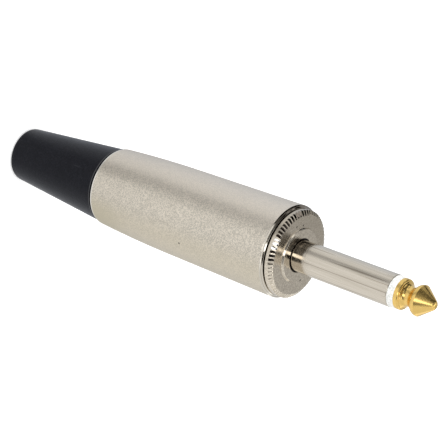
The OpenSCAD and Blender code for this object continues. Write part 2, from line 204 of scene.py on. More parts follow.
def build_lathe():
    """The tree that turns an outline. Notches go from deep to shallow between the two cosines."""
    tree = bpy.data.node_groups.new("lathe", "GeometryNodeTree")
    inputs = (
        ("Outline", "NodeSocketGeometry", None),
        ("Steps Round", "NodeSocketInt", 256),
        ("Notches", "NodeSocketInt", 0),
        ("Notch Share", "NodeSocketFloat", 0.6),
        ("Deep Side", "NodeSocketFloat", 0.0),
        ("Shallow Depth", "NodeSocketFloat", 1.0),
        ("Thread Pitch", "NodeSocketFloat", 0.001),
        ("Sharp Above", "NodeSocketFloat", 0.6),
        ("Finish", "NodeSocketMaterial", None),
    )
    for name, kind, value in inputs:
        socket = tree.interface.new_socket(name=name, in_out="INPUT", socket_type=kind)
        if value is not None:
            socket.default_value = value
    tree.interface.new_socket(name="Turned", in_out="OUTPUT", socket_type="NodeSocketGeometry")
    pen = Pen(tree)
    node, calc = pen.node, pen.calc
    given = node("NodeGroupInput").outputs

    size = node("GeometryNodeAttributeDomainSize", {"Geometry": given["Outline"]}, component="MESH")
    rows = size.outputs["Point Count"]
    columns = calc("ADD", given["Steps Round"], 1)
    grid = node("GeometryNodeMeshGrid", {"Vertices X": columns, "Vertices Y": rows})

    index = node("GeometryNodeInputIndex").outputs[0]
    row = calc("MODULO", index, rows)
    share = calc("DIVIDE", calc("FLOOR", calc("DIVIDE", index, rows)), given["Steps Round"])

    def from_outline(field, kind):
        """What the outline has at this row."""
        sockets = {"Geometry": given["Outline"], "Value": field, "Index": row}
        return node("GeometryNodeSampleIndex", sockets, data_type=kind, domain="POINT").outputs["Value"]

    def written(name):
        """A number that the outline's points carry under this name."""
        read = node("GeometryNodeInputNamedAttribute", {"Name": name}, data_type="FLOAT")
        return from_outline(read.outputs["Attribute"], "FLOAT")

    position = node("GeometryNodeInputPosition").outputs[0]
    radius, _, height = pen.split(from_outline(position, "FLOAT_VECTOR"))

    along = calc("FRACT", calc("MULTIPLY", share, given["Notches"]))
    off_middle = calc("MULTIPLY", calc("ABSOLUTE", calc("SUBTRACT", along, 0.5)), 2.0)
    notch = calc("SUBTRACT", 1.0, calc("DIVIDE", off_middle, given["Notch Share"]), clamp=True)
    angle = calc("MULTIPLY", share, 2 * math.pi)
    near_deep_side = calc("COSINE", calc("SUBTRACT", angle, given["Deep Side"]))
    bite = pen.ramp(near_deep_side, SHALLOW_COSINE, DEEP_COSINE, least=given["Shallow Depth"])
    height = calc("SUBTRACT", height, pen.times(written("notch"), bite, notch))

    wound = calc("FRACT", calc("SUBTRACT", calc("DIVIDE", height, given["Thread Pitch"]), share))
    ridge = calc("SUBTRACT", 1.0, calc("ABSOLUTE", calc("MULTIPLY_ADD", wound, 2.0, -1.0)))
    crest = calc("MULTIPLY_ADD", ridge, 1.5, -0.25, clamp=True)
    radius = calc("ADD", radius, calc("MULTIPLY", written("thread"), crest))

    x, y = pen.times(radius, calc("COSINE", angle)), pen.times(radius, calc("SINE", angle))
    point = node("ShaderNodeCombineXYZ", {0: x, 1: y, 2: height})
    shape = node("GeometryNodeSetPosition", {"Geometry": grid.outputs["Mesh"], "Position": point.outputs[0]})
    closed = node("GeometryNodeMergeByDistance", {"Geometry": shape.outputs[0], "Distance": MERGE})

    smooth = node("GeometryNodeSetShadeSmooth", {"Geometry": closed.outputs[0]}, domain="FACE")
    bend = node("GeometryNodeInputMeshEdgeAngle").outputs["Unsigned Angle"]
    edges = {"Geometry": smooth.outputs[0], "Selection": calc("GREATER_THAN", bend, given["Sharp Above"]),
             "Shade Smooth": False}
    sharp = node("GeometryNodeSetShadeSmooth", edges, domain="EDGE")
    real = node("GeometryNodeRealizeInstances", {0: sharp.outputs[0]})
    paint = node("GeometryNodeSetMaterial", {"Geometry": real.outputs[0], "Material": given["Finish"]})
    node("NodeGroupOutput", {0: paint.outputs[0]})
    return tree


lathe = build_lathe()
print("lathe tree:", len(lathe.nodes), "nodes")

# %% [markdown]
# ## Drawing an outline
# An outline is a list of corners in mm: radius, height and, where the real edge is rounded, the
# rounding. A rounded corner becomes a short arc with one more point on each side of it, so that the
# flat next to it keeps its flat shading. A row can also carry a notch depth or a thread height.

# %% Outline helpers
EXTRA_POINT = 0.5
THREAD_HEIGHT, THREAD_FADE = 0.33, 0.6


def drawn(*corners, steps=5, closed=True):
    """Rows (radius, height, notch, thread) round the corners (radius, height, rounding)."""
    rows = []
    for i, corner in enumerate(corners):
        radius, height, rounding = (list(corner) + [0])[:3]
        here = Vector((radius, height))
        if not rounding or (not closed and i in (0, len(corners) - 1)):
            rows.append((radius, height, 0, 0))
            continue
        back = (Vector(corners[i - 1][:2]) - here).normalized()
        ahead = (Vector(corners[(i + 1) % len(corners)][:2]) - here).normalized()
        half = back.angle(ahead) / 2
        centre = here + (back + ahead).normalized() * rounding / math.sin(half)
        reach = rounding / math.tan(half)
        first, last = here + back * reach - centre, here + ahead * reach - centre
        whole = first.angle(last)
        rows.append((*(centre + first + back * rounding * EXTRA_POINT), 0, 0))
        for k in range(steps + 1):
            a, b = math.sin(whole * (1 - k / steps)), math.sin(whole * k / steps)
            rows.append((*(centre + (first * a + last * b) / math.sin(whole)), 0, 0))
        rows.append((*(centre + last + ahead * rounding * EXTRA_POINT), 0, 0))
    return rows


def threaded(radius, start, stop, rows_per_mm=8):
    """Rows of a thread on this root radius, from start to stop, that fades in and out at its ends."""
    count = max(2, round(abs(stop - start) * rows_per_mm))
    rows = []
    for k in range(count + 1):
        z = start + (stop - start) * k / count
        ends = min(abs(z - start), abs(stop - z)) / THREAD_FADE
        rows.append((radius, z, 0, THREAD_HEIGHT * min(1, ends)))
    return rows


print("a rounded corner has", len(drawn((0, 0), (1, 0, 0.1), (1, 1), closed=False)) - 2, "rows")

# %% [markdown]
# ## Turning a piece
# The outline becomes a mesh of points and edges, the lathe tree turns it, and the result is kept as a
# plain mesh. Its normals are made to point outwards, because the sweep doesn't know which side is metal.

# %% Turn one piece


def turned(name, rows, finish, body, nodes, slot, around=256, closed=True, **settings):
    """Sweeps rows round the axis and puts the piece on its body in place of the packed nodes."""
    rows = rows + rows[:1] if closed else rows
    outline = bpy.data.meshes.new(name + "_outline")
    points = [(radius * MM, 0, height * MM) for radius, height, _, _ in rows]
    outline.from_pydata(points, [(i, i + 1) for i in range(len(rows) - 1)], [])
    for column, word in ((2, "notch"), (3, "thread")):
        values = outline.attributes.new(word, "FLOAT", "POINT")
        values.data.foreach_set("value", [row[column] * MM for row in rows])
    piece = placed(name, outline)
    modifier = piece.modifiers.new("lathe", "NODES")
    modifier.node_group = lathe
    given = {"Steps Round": around, "Finish": finish, **settings}
    for item in lathe.interface.items_tree:
        if item.in_out == "INPUT" and item.name in given:
            modifier[item.identifier] = given[item.name]
    made_plain(piece)
    piece.data.name = name
    bpy.data.meshes.remove(outline)
    outwards(piece.data)
    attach(piece, body)
    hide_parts(*nodes)
    print(name, len(rows), "rows,", sum(len(f.vertices) - 2 for f in piece.data.polygons), "triangles")


def made_plain(piece):
    """Keeps what the piece's modifier makes as a plain mesh."""
    ready = piece.evaluated_get(bpy.context.evaluated_depsgraph_get())
    piece.data = bpy.data.meshes.new_from_object(ready)
    piece.modifiers.clear()


def outwards(mesh):
    """Turns a closed mesh's faces to point outwards."""
    work = bmesh.new()
    work.from_mesh(mesh)
    bmesh.ops.recalc_face_normals(work, faces=work.faces)
    if work.calc_volume(signed=True) < 0:
        bmesh.ops.reverse_faces(work, faces=work.faces)
    work.to_mesh(mesh)
    work.free()


print("inputs of the lathe:", [item.name for item in lathe.interface.items_tree if item.in_out == "INPUT"])

# %% [markdown]
# ## A start for every finish
# Each finish is a Principled shader whose colour, roughness and bump come from noise in Object
# coordinates, so the grain stays on the metal from any side. Two coordinates come up again and again on
# turned parts: the distance from the axis, for rings, and a stretched place, for lengthwise lines.

# %% Finish helpers


class Finish(Pen):
    """A pen with a material of its own, whose shader it fills and adds detail to."""

    def __init__(self, name, colour, metallic, roughness, **sockets):
        self.material = fresh(bpy.data.materials, name)
        super().__init__(self.material.node_tree)
        basics = {"Base Color": (*colour, 1), "Metallic": metallic, "Roughness": roughness}
        self.shader = self.node("ShaderNodeBsdfPrincipled", basics)
        for socket, value in sockets.items():
            self.fill(socket.replace("_", " "), value)
        self.node("ShaderNodeOutputMaterial", {"Surface": self.shader.outputs[0]})
        self.place = self.node("ShaderNodeTexCoord").outputs["Object"]

    def fill(self, socket, value):
        """Fills one of the shader's own sockets."""
        self.put(self.shader.inputs[socket], value)

    def noise(self, scale, detail=2.0, stretch=(1, 1, 1), rough=0.5):
        """Noise from 0 to 1 whose features are 1/scale metres wide."""
        sockets = {0: self.place, 1: [scale * s for s in stretch]}
        spread = self.node("ShaderNodeVectorMath", sockets, operation="MULTIPLY").outputs[0]
        sockets = {"Vector": spread, "Scale": 1.0, "Detail": detail, "Roughness": rough}
        return self.node("ShaderNodeTexNoise", sockets).outputs[0]

    def rings(self, value, scale, detail=3.0):
        """Noise that changes only with this value."""
        sockets = {"W": self.times(value, scale), "Scale": 1.0, "Detail": detail}
        return self.node("ShaderNodeTexNoise", sockets, noise_dimensions="1D").outputs[0]

    def between(self, value, low_end, high_end):
        """A value from 0 to 1 turned into one from low_end to high_end."""
        return self.calc("MULTIPLY_ADD", value, high_end - low_end, low_end)

    def toward(self, share, start, stop):
        """The start where the share is 0, the stop where it is 1."""
        return self.calc("MULTIPLY_ADD", share, self.calc("SUBTRACT", stop, start), start)

    def speckled(self, fine, fine_ends, slow, slow_ends):
        """A fine noise with its contrast raised, that drifts with a slow one."""
        return self.calc("ADD", self.between(fine, *fine_ends), self.between(slow, *slow_ends), clamp=True)

    def above(self, value, level):
        """1 above a level in mm."""
        return self.calc("GREATER_THAN", value, level * MM)

    def below(self, value, level):
        """1 below a level in mm."""
        return self.calc("LESS_THAN", value, level * MM)

    def fade(self, value, start, stop):
        """0 at start and 1 at stop, both in mm."""
        return self.ramp(value, start * MM, stop * MM)

    def spot(self, centre, core, edge):
        """1 within core of a point, fading to 0 at edge, all in mm."""
        sockets = {0: self.place, 1: [c * MM for c in centre]}
        off = self.node("ShaderNodeVectorMath", sockets, operation="DISTANCE")
        return self.fade(off.outputs["Value"], edge, core)

    def mixed(self, share, first, second):
        """A colour between two colours."""
        ends = [c if isinstance(c, bpy.types.NodeSocket) else (*c, 1) for c in (first, second)]
        return self.node("ShaderNodeMix", {0: share, 6: ends[0], 7: ends[1]}, data_type="RGBA").outputs[2]

    def bump(self, height, depth):
        """Raises the surface by up to this depth in mm where the height is 1."""
        made = self.node("ShaderNodeBump", {"Distance": depth * MM, "Height": height})
        self.fill("Normal", made.outputs[0])


print("a finish adds:", [name for name in vars(Finish) if not name.startswith("_")])

# %% [markdown]
# ## Blasted nickel, for the barrel
# The barrel was blasted with fine beads and then plated, so it has no lines, only a grain as fine as
# sand that sparkles where the light is steep. A fine noise drives colour, bump and roughness. Both edges
# were cut bright after the blasting, so the roughness falls there; the rear edge's colour is also raised
# as a painted highlight, and the front edge is painted dark as shade on one side. Fingers rubbed both
# flanks smooth, and in colour one flank is painted lighter as light and the other darker and yellower as
# painted shade and reflection. Use also left a tiny pit, and low down on one side a darker yellow tint is
# painted as a reflection. Each has its coordinates.

# %% Barrel finish
NICKEL = (0.62, 0.57, 0.49)
FRONT_CUT, REAR_CUT, CUT_ROUGHNESS = 0.47, 0.55, 0.1
LEFT_FLANK, RIGHT_FLANK = (-1.5, -5.5), (2.0, 6.2)
WARM_REFLECTION_FROM, WARM_REFLECTION_FULL, WARM_REFLECTION_SIDE = 13, 1, (2.0, 7.5)
FRONT_SHADE_SIDE = (-3.0, -5.5)
BARREL_PIT = (6.0, -6.66, 49.4)

pen = Finish("blasted_nickel", NICKEL, 1.0, 0.4)
x, _, height = pen.split(pen.place)
grain = pen.noise(4300, rough=0.7)
clumps = pen.noise(900)
blotch = pen.noise(90)
front_cut = pen.above(height, barrel_front - FRONT_CUT)
rear_cut = pen.below(height, barrel_rear + REAR_CUT)
cut = pen.calc("ADD", front_cut, rear_cut)
pen.fill("Roughness", pen.toward(cut, pen.between(grain, 0.33, 0.47), CUT_ROUGHNESS))

base = pen.mixed(pen.between(blotch, -0.5, 1.5), (0.55, 0.505, 0.43), (0.51, 0.48, 0.415))
shade = pen.mixed(pen.speckled(grain, (-5.6, 6.6), clumps, (-0.9, 0.9)), base, (0.76, 0.70, 0.605))
# Low down towards +X the nickel is painted darker and yellower as a reflection.
low_down = pen.fade(height, barrel_rear + WARM_REFLECTION_FROM, barrel_rear + WARM_REFLECTION_FULL)
to_one_side = pen.times(pen.fade(x, *WARM_REFLECTION_SIDE), pen.between(blotch, 0.2, 1.0))
shade = pen.mixed(pen.times(low_down, to_one_side), shade, (0.43, 0.395, 0.25))
# The flanks were rubbed smoother; in colour the -X flank is painted lighter as light, and the +X flank darker
# and yellower as painted shade and reflection.
left_rubbed_and_lit, right_rubbed_and_shaded = pen.fade(x, *LEFT_FLANK), pen.fade(x, *RIGHT_FLANK)
shade = pen.mixed(pen.times(left_rubbed_and_lit, 0.6), shade, (0.78, 0.715, 0.63))
shade = pen.mixed(pen.times(right_rubbed_and_shaded, 0.5), shade, (0.55, 0.495, 0.38))
shade = pen.mixed(pen.spot(BARREL_PIT, 0.12, 0.3), shade, (0.14, 0.12, 0.10))
# Towards -X the front cut's colour goes dark as painted shade.
front_shade = pen.mixed(pen.fade(x, *FRONT_SHADE_SIDE), (0.66, 0.62, 0.545), (0.27, 0.24, 0.205))
# The rear cut's near-white colour is partly a polished edge and partly a painted highlight.
shade = pen.mixed(rear_cut, pen.mixed(front_cut, shade, front_shade), (0.90, 0.87, 0.81))
pen.fill("Base Color", shade)

handled = pen.calc("MAXIMUM", left_rubbed_and_lit, right_rubbed_and_shaded)
left_rough = pen.times(pen.one_less(cut), pen.between(handled, 1.0, 0.5))
pen.bump(pen.times(grain, left_rough), 0.02)
barrel_nickel = pen.material
print("blasted between", round(barrel_rear + REAR_CUT, 2), "and", round(barrel_front - FRONT_CUT, 2), "mm")

# %% [markdown]
# ## Turned nickel, for the body
# The flange and hub keep the lathe's own marks, rings round the axis under the plating. Rings make the
# light run out along the radius, which the shader's anisotropy gives once its tangent follows the axis.
# The notches round the bevel are deepest on one side. There they are painted dark as shade, but a few
# are painted near-white as a highlight, so the finish works out from the angle where each notch is, as
# the lathe tree does. The flange is darker towards one side, the face has three small pits, and the
# slope up to the hub is smoother than the face. The recess round the finger's root is painted dark as
# shade.

# %% Body finish
NOTCHES, NOTCH_SHARE, DEEP_SIDE = 68, 0.67, math.radians(-119)
HUB_R, RECESS_R = 5.2, 3.38
NOTCHED_BAND = 0.33
DEEP_FROM, DEEP_FULL = 4.7, 5.8
NOTCH_GLINT_X, NOTCH_GLINT_HALF, NOTCH_SHADE_HALF = -0.25, 0.8, 1.5
DARKER_SIDE = (4, -8)
FACE_PITS = ((-4.79, -4.02), (-5.51, -2.11), (4.43, 3.59))

pen = Finish("turned_nickel", NICKEL, 1.0, 0.25, Anisotropic=0.5, Anisotropic_Rotation=0.25)
pen.fill("Tangent", pen.node("ShaderNodeTangent", direction_type="RADIAL", axis="Z").outputs[0])
x, y, height = pen.split(pen.place)
distance = pen.from_axis(x, y)
grain = pen.noise(3000, detail=3.0, rough=0.7)
smear = pen.noise(700, detail=3.0)

on_bevel = pen.times(pen.below(height, face - 0.01), pen.above(height, bevel - NOTCHED_BAND))
notch_turn = pen.times(pen.calc("ARCTAN2", y, x), NOTCHES / (2 * math.pi))
off_middle = pen.calc("ABSOLUTE", pen.calc("SUBTRACT", pen.calc("FRACT", notch_turn), 0.5))
to_deep_side = pen.calc("MULTIPLY_ADD", x, math.cos(DEEP_SIDE), pen.times(y, math.sin(DEEP_SIDE)))
in_notch = pen.times(on_bevel, pen.calc("LESS_THAN", off_middle, NOTCH_SHARE / 2),
                     pen.fade(to_deep_side, DEEP_FROM, DEEP_FULL))
hub_high = pen.above(height, hub - 0.1)
on_hub = pen.times(hub_high, pen.fade(distance, HUB_R - 0.3, HUB_R - 0.7))
on_slope = pen.times(pen.above(height, face + 0.03), pen.fade(distance, HUB_R - 0.35, HUB_R - 0.25))
satin = pen.between(smear, 0.18, 0.32)
for zone, change in ((on_bevel, -0.05), (on_hub, -0.14), (on_slope, -0.1)):
    satin = pen.calc("MULTIPLY_ADD", zone, change, satin)
pen.fill("Roughness", pen.toward(in_notch, satin, 0.05))

shade = pen.mixed(pen.between(grain, -1.3, 2.3), (0.54, 0.485, 0.40), (0.73, 0.665, 0.56))
# The flange is made darker towards -X, less so on the hub.
side_darkening = pen.times(pen.fade(x, *DARKER_SIDE), pen.between(hub_high, 0.5, 0.1))
shade = pen.mixed(side_darkening, shade, (0.36, 0.315, 0.25))
# Notches near one angle are painted near-white as a highlight; the others on the deep side are painted dark
# as shade.
off_glint = pen.calc("ABSOLUTE", pen.calc("SUBTRACT", x, NOTCH_GLINT_X * MM))
notch_shade = pen.fade(off_glint, NOTCH_GLINT_HALF, NOTCH_SHADE_HALF)
shade = pen.mixed(pen.times(in_notch, pen.one_less(notch_shade)), shade, (1.0, 0.99, 0.97))
shade = pen.mixed(pen.times(in_notch, notch_shade, 0.95), shade, (0.075, 0.063, 0.053))
for pit_x, pit_y in FACE_PITS:
    shade = pen.mixed(pen.spot((pit_x, pit_y, face), 0.10, 0.26), shade, (0.10, 0.085, 0.07))
# The recess round the finger's root is painted dark as shade.
shaded_recess = pen.times(pen.below(distance, RECESS_R + 0.02), pen.above(height, hub - 0.5),
                      pen.below(height, hub - 0.03))
pen.fill("Base Color", pen.mixed(shaded_recess, shade, (0.02, 0.017, 0.015)))

marked = pen.one_less(pen.calc("MAXIMUM", in_notch, on_slope))
marks = pen.times(pen.calc("ADD", pen.rings(distance, 9000), grain), marked)
tool_rings = pen.times(pen.rings(distance, 2600, detail=1.0), on_hub, 10.0)
pen.bump(pen.calc("ADD", marks, tool_rings), 0.005)
body_nickel = pen.material
print(NOTCHES, "notches, one every", round(360 / NOTCHES, 2), "degrees")

# %% [markdown]
# ## Brushed nickel, for the sleeve
# The sleeve was drawn along its length by polishing and by years of plugging in, so its lines run
# lengthwise. Noise squeezed across and stretched along gives them, and one longer scratch is placed by
# its angle. The root near the hub never rubs inside a socket: it stays polished, and on one side it is
# painted brown-dark as shade.

# %% Sleeve finish
ROOT_POLISHED, ROOT_END = 2.0, 3.6
SCRATCH_ANGLE = math.radians(-72.5)
SCRATCH_EDGE, SCRATCH_CORE = 0.035, 0.008
ROOT_SHADE_FROM, ROOT_SHADE_FULL, ROOT_SHADE_SIDE = 2.2, 0.8, (-1.0, -2.2)

pen = Finish("brushed_nickel", NICKEL, 1.0, 0.25)
x, y, height = pen.split(pen.place)
lines = pen.noise(3200, detail=3.0, stretch=(1, 1, 0.03))
marks = pen.noise(1900, detail=1.0, stretch=(1, 1, 0.02))
rubbed = pen.fade(height, hub + ROOT_POLISHED, hub + ROOT_END)
pen.fill("Roughness", pen.calc("MULTIPLY_ADD", rubbed, pen.between(lines, 0.08, 0.2), 0.1))

off_scratch = pen.calc("ABSOLUTE", pen.calc("SUBTRACT", pen.calc("ARCTAN2", y, x), SCRATCH_ANGLE))
long_scratch = pen.ramp(off_scratch, SCRATCH_EDGE, SCRATCH_CORE)
scratch = pen.times(pen.calc("MAXIMUM", pen.calc("GREATER_THAN", marks, 0.66), long_scratch), rubbed)
shade = pen.mixed(pen.between(lines, -0.6, 1.6), (0.56, 0.51, 0.43), (0.69, 0.635, 0.55))
shade = pen.mixed(pen.times(scratch, 0.6), shade, (0.30, 0.25, 0.19))
# On the -X side the root is painted brown-dark as shade.
near_hub = pen.fade(height, hub + ROOT_SHADE_FROM, hub + ROOT_SHADE_FULL)
root_shade = pen.times(near_hub, pen.fade(x, *ROOT_SHADE_SIDE), 0.65)
pen.fill("Base Color", pen.mixed(root_shade, shade, (0.19, 0.15, 0.115)))
pen.bump(pen.times(lines, rubbed), 0.006)
sleeve_nickel = pen.material
print("polished root up to", round(hub + ROOT_POLISHED, 2), "mm")

# %% [markdown]
# ## Gold, for the tip
# A thin plate of gold over polished brass. It mirrors its surroundings, with faint turning rings, and
# wear makes it rougher and a little paler in places.

# %% Tip finish
pen = Finish("gold_plate", (0.88, 0.62, 0.21), 1.0, 0.15)
wear = pen.noise(900, detail=3.0)
pen.fill("Roughness", pen.between(wear, 0.15, 0.33))
pen.fill("Base Color", pen.mixed(wear, (0.91, 0.64, 0.22), (0.79, 0.53, 0.155)))
tool_rings = pen.rings(pen.split(pen.place)[2], 6000)
pen.bump(pen.calc("ADD", tool_rings, pen.noise(1800, detail=3.0)), 0.003)
gold = pen.material
print("metals:", [material.name for material in (barrel_nickel, body_nickel, sleeve_nickel, gold)])

# %% [markdown]
# ## Plastics
# Plain mouldings: the white ring, the dark bush and the milky tube, liner and chuck. Each gets a fine
# grain and a slow change of colour, as moulded plastic has. The red washer of pressed fibre is made the
# same way with a coarser grain.

# %% Plastic finishes


def plastic(name, colour, other, roughness, grain_scale=3500, depth=0.008):
    """A moulded finish between two colours."""
    pen = Finish(name, colour, 0.0, roughness)
    fine = pen.noise(grain_scale, detail=3.0)
    speck = pen.speckled(fine, (-2.0, 2.5), pen.noise(120), (-0.4, 0.4))
    pen.fill("Base Color", pen.mixed(speck, colour, other))
    pen.fill("Roughness", pen.between(fine, roughness - 0.07, roughness + 0.07))
    pen.bump(fine, depth)
    return pen.material


ring_white = plastic("ring_plastic", (0.97, 0.965, 0.94), (0.70, 0.72, 0.675), 0.5, grain_scale=2800,
                     depth=0.06)
bush_dark = plastic("bush_plastic", (0.02, 0.02, 0.022), (0.03, 0.03, 0.03), 0.45)
tube_plastic = plastic("tube_plastic", (0.72, 0.68, 0.58), (0.66, 0.62, 0.52), 0.4)
liner_plastic = plastic("liner_plastic", (0.78, 0.78, 0.74), (0.70, 0.70, 0.67), 0.35)
chuck_plastic = plastic("chuck_plastic", (0.76, 0.76, 0.73), (0.68, 0.68, 0.65), 0.45)
fibre = plastic("pressed_fibre", (0.30, 0.10, 0.05), (0.22, 0.07, 0.035), 0.7, grain_scale=2200, depth=0.02)
print("finishes so far:", len(bpy.data.materials))

# %% [markdown]
# ## Black boot plastic
# The boot is a soft black moulding with a satin skin. It goes lighter where the light grazes it, which a
# little sheen gives, and a grey band just behind its front edge is a painted highlight.

# %% Boot finish
EDGE_CLEAR, EDGE_HIGHLIGHT_FULL, EDGE_END = 0.34, 0.24, 0.06

pen = Finish("boot_plastic", (0.004, 0.004, 0.007), 0.0, 0.36, Specular_IOR_Level=0.05, Sheen_Weight=0.19,
             Sheen_Roughness=0.46, Sheen_Tint=(0.85, 0.9, 1.0, 1.0))
height = pen.split(pen.place)[2]
fine = pen.noise(3300, detail=3.0)
slow = pen.noise(160, detail=3.0)
scuffs = pen.noise(1500, stretch=(1, 1, 0.12))
speck = pen.speckled(fine, (-2.0, 2.4), slow, (-0.5, 0.5))
skin = pen.mixed(speck, (0.001, 0.001, 0.003), (0.007, 0.007, 0.011))
skin = pen.mixed(pen.ramp(scuffs, 0.66, 0.8), skin, (0.014, 0.015, 0.019))
# A grey band just behind the front edge is a painted highlight.
edge_highlight = pen.times(pen.fade(height, boot_shoulder - EDGE_CLEAR, boot_shoulder - EDGE_HIGHLIGHT_FULL),
                     pen.below(height, boot_shoulder - EDGE_END))
pen.fill("Base Color", pen.mixed(edge_highlight, skin, (0.055, 0.055, 0.058)))
pen.fill("Roughness", pen.between(slow, 0.28, 0.44))
pen.bump(fine, 0.03)
boot_black = pen.material
print("the boot's front edge is rubbed above", round(boot_shoulder - EDGE_CLEAR, 2), "mm")

# %% [markdown]
# ## Sheet metal of the terminals
# Tinned brass is dull and mottled where the tin froze, and the little end washer is bare brass.

# %% Terminal finishes


def sheet(name, colour, other, roughness):
    """Mottled sheet metal between two colours."""
    pen = Finish(name, colour, 1.0, roughness)
    frost = pen.noise(1500, detail=4.0)
    pen.fill("Base Color", pen.mixed(frost, colour, other))
    pen.fill("Roughness", pen.between(frost, roughness - 0.1, roughness + 0.12))
    pen.bump(frost, 0.01)
    return pen.material


tinned = sheet("tinned_sheet", (0.66, 0.65, 0.62), (0.52, 0.51, 0.48), 0.38)
brass = sheet("bare_brass", (0.72, 0.52, 0.22), (0.58, 0.40, 0.16), 0.32)
print("finishes in all:", len(bpy.data.materials))

# %% [markdown]
# ## The barrel
# One shell with a thin wall. Outside it narrows slowly towards the rear and then curves in; inside it
# has a thread at each end and a shoulder between them. The long curve is an arc of a large circle.

# %% Turn the barrel
BARREL_FRONT_R, BARREL_TAPER = 9.3, 0.0164
CURVE_R, CURVE_LEN = 300.0, 18.3
REAR_THREAD_R, REAR_BORE_R = 6.32, 6.65
SHOULDER_R, LINER_BORE_R = 5.5, 7.0
FRONT_THREAD_R, MOUTH_R = 6.92, 7.25
SHOULDER_UP, SHOULDER_LEN = 3.65, 1.0
SIDE_FRONT, SIDE_REAR, SIDE_ROWS = 1.2, 0.8, 40
barrel_len = barrel_front - barrel_rear


def barrel_radius(back):
    """Outside radius at a distance behind the front edge, in mm."""
    bend = max(0.0, back - (barrel_len - CURVE_LEN))
    return BARREL_FRONT_R - BARREL_TAPER * back - (CURVE_R - math.sqrt(CURVE_R ** 2 - bend ** 2))


shoulder_low = boot_top + SHOULDER_UP
shoulder_high = shoulder_low + SHOULDER_LEN
liner_seat = body_rear - 0.15
rows = threaded(REAR_THREAD_R, barrel_rear + 0.3, boot_top + 0.4)
rows += drawn((REAR_BORE_R, boot_top + 0.5), (REAR_BORE_R, shoulder_low), (SHOULDER_R, shoulder_low, 0.1),
              (SHOULDER_R, shoulder_high, 0.1), (LINER_BORE_R, shoulder_high), (LINER_BORE_R, liner_seat),
              closed=False, steps=3)
rows += threaded(FRONT_THREAD_R, liner_seat + 0.1, barrel_front - 0.35)
rows += drawn((MOUTH_R, barrel_front - 0.25), (MOUTH_R, barrel_front, 0.08),
              (BARREL_FRONT_R - 0.52, barrel_front, 0.04), (BARREL_FRONT_R - 0.33, barrel_front - 0.23, 0.02),
              (BARREL_FRONT_R - 0.22, barrel_front - 0.23, 0.03),
              (barrel_radius(0.45), barrel_front - 0.45, 0.06),
              (barrel_radius(SIDE_FRONT), barrel_front - SIDE_FRONT), closed=False, steps=3)
for k in range(1, SIDE_ROWS):
    back = SIDE_FRONT + (barrel_len - SIDE_FRONT - SIDE_REAR) * k / SIDE_ROWS
    rows.append((barrel_radius(back), barrel_front - back, 0, 0))
rows += drawn((barrel_radius(barrel_len - SIDE_REAR), barrel_rear + SIDE_REAR),
              (barrel_radius(barrel_len - 0.3), barrel_rear + 0.3, 0.45),
              (barrel_radius(barrel_len) - 0.3, barrel_rear, 0.06),
              (REAR_BORE_R, barrel_rear, 0.08), (REAR_BORE_R, barrel_rear + 0.25), closed=False, steps=3)
turned("barrel_shell", rows, barrel_nickel, "barrel_shell", ["barrel"], "barrel_nickel", around=288)

# %% [markdown]
# ## The body
# One turned piece: raised hub, flat face, bevel with a ring of notches, plain land, and the threaded
# spigot behind. The notches help the fingers hold it while the barrel is screwed on. The lathe tree
# cuts them where the bevel's rows ask for them, deeper at the outside than at the face.

# %% Turn the body
FLANGE_R, FACE_R = 8.75, 7.95
SEAT_R, POCKET_R = 2.995, 5.25
SPIGOT_R, SPIGOT_THREAD_R = 6.8, 6.87
NOTCH_DEPTH, FACE_NOTCH_DEPTH, SHALLOW_DEPTH = 0.36, 0.32, 0.33
BEVEL_ROWS, STEPS_PER_NOTCH = 6, 12

rows = drawn((SEAT_R, hub - 0.35), (SEAT_R, sleeve_rear, 0.05), (POCKET_R, sleeve_rear, 0.05),
             (POCKET_R, body_rear, 0.08), (SPIGOT_R, body_rear, 0.1), (SPIGOT_THREAD_R, body_rear + 0.3),
             closed=False, steps=2)
rows += threaded(SPIGOT_THREAD_R, body_rear + 0.35, flange_rear - 0.8, rows_per_mm=7)
rows += drawn((SPIGOT_R, flange_rear - 0.75), (SPIGOT_R, flange_rear, 0.1),
              (FLANGE_R - 0.25, flange_rear, 0.05), (FLANGE_R, flange_rear + 0.25, 0.08),
              (FLANGE_R, bevel - 0.34), closed=False, steps=4)
for k in range(BEVEL_ROWS + 1):
    share = k / BEVEL_ROWS
    rows.append((FLANGE_R + (FACE_R - FLANGE_R) * share, bevel + (face - bevel) * share,
                 NOTCH_DEPTH + (FACE_NOTCH_DEPTH - NOTCH_DEPTH) * share, 0))
rows += drawn((FACE_R - 0.17, face), (FACE_R - 0.5, face), (HUB_R + 0.9, face), (HUB_R + 0.2, face, 0.1),
              (HUB_R, hub, 0.15), (RECESS_R, hub, 0.1), (RECESS_R, hub - 0.35, 0.05), closed=False, steps=5)
notched = {"Notches": NOTCHES, "Notch Share": NOTCH_SHARE, "Deep Side": DEEP_SIDE,
           "Shallow Depth": SHALLOW_DEPTH, "Sharp Above": 0.42}
turned("body_turning", rows, body_nickel, "plug", ["plug_body"], "body_nickel",
       around=NOTCHES * STEPS_PER_NOTCH, **notched)

# %% [markdown]
# ## The finger
# Sleeve, ring and tip sit on one rod. The sleeve's root is a hair thinner than the rest, its front edge
# is rounded, and the white ring tapers from it to the gold collar.

# %% Turn the sleeve and the ring
SLEEVE_R, ROOT_R, PRESSED_R, SLEEVE_BORE_R = 3.175, 3.125, 2.975, 2.405
RING_BORE_R, RING_NECK_R, RING_REAR_R, RING_FRONT_R = 1.25, 2.355, 3.1, 3.0
ROUND_STEPS = 192

